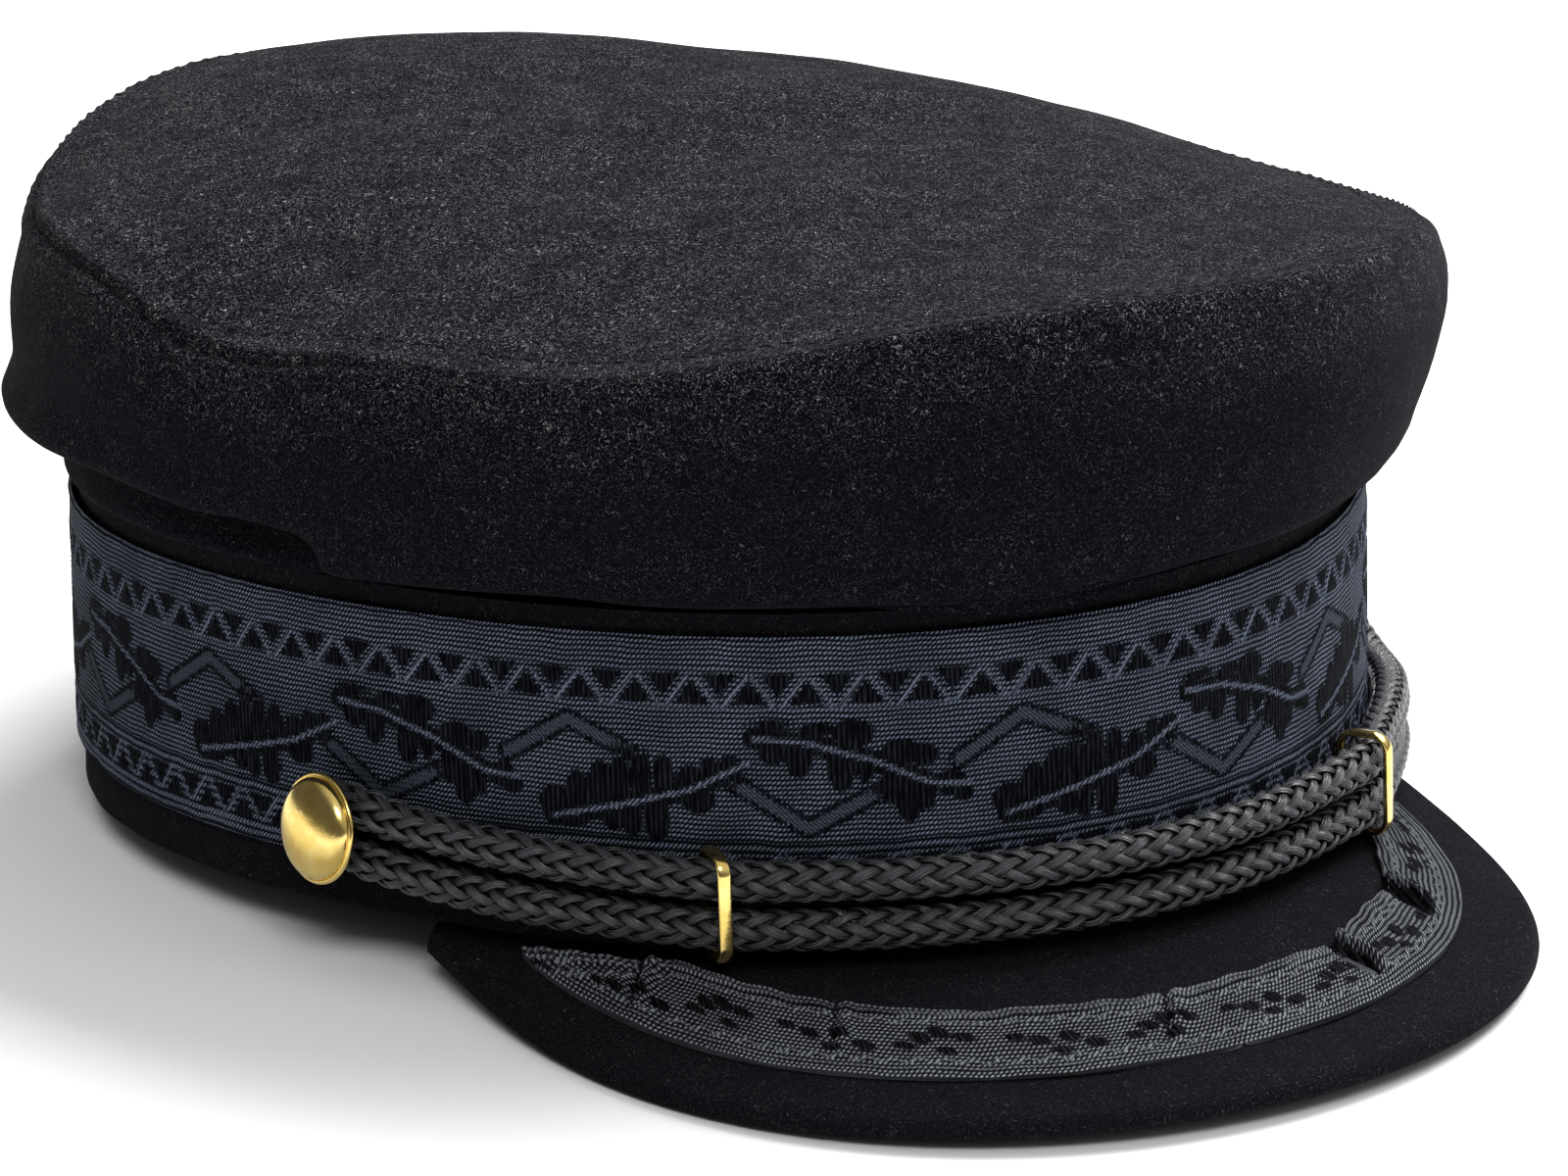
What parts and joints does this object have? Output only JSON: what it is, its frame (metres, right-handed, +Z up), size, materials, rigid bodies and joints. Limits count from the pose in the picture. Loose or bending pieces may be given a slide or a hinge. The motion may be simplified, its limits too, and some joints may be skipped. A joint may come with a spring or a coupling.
{
  "type": "breton fisherman cap",
  "caption": "Soft wool cap with a slouched oval crown, patterned ribbon band, stiff ribbon-trimmed peak and a braided cord strap between domed buttons.",
  "frame": {"origin": "under the middle of the whole cap, on the surface that it rests on", "axes": "+X towards the wearer's left, the peak points to -Y, +Z up"},
  "size_m": [0.2052, 0.255, 0.1003],
  "materials": {
    "wool": "felted wool cloth with a short nap",
    "ribbon": "woven jacquard ribbon with a slight sheen",
    "cord": "plaited cord of shiny thread",
    "brass": "polished"
  },
  "bodies": {
    "root": {"crown_tip": "wool", "crown_side": "wool", "headband": "wool", "peak": "wool", "band_ribbon": "ribbon", "peak_ribbon": "ribbon", "chin_cord": "cord", "slide_right": "brass", "slide_left": "brass", "button_right": "brass", "button_left": "brass"}
  },
  "joints": []
}
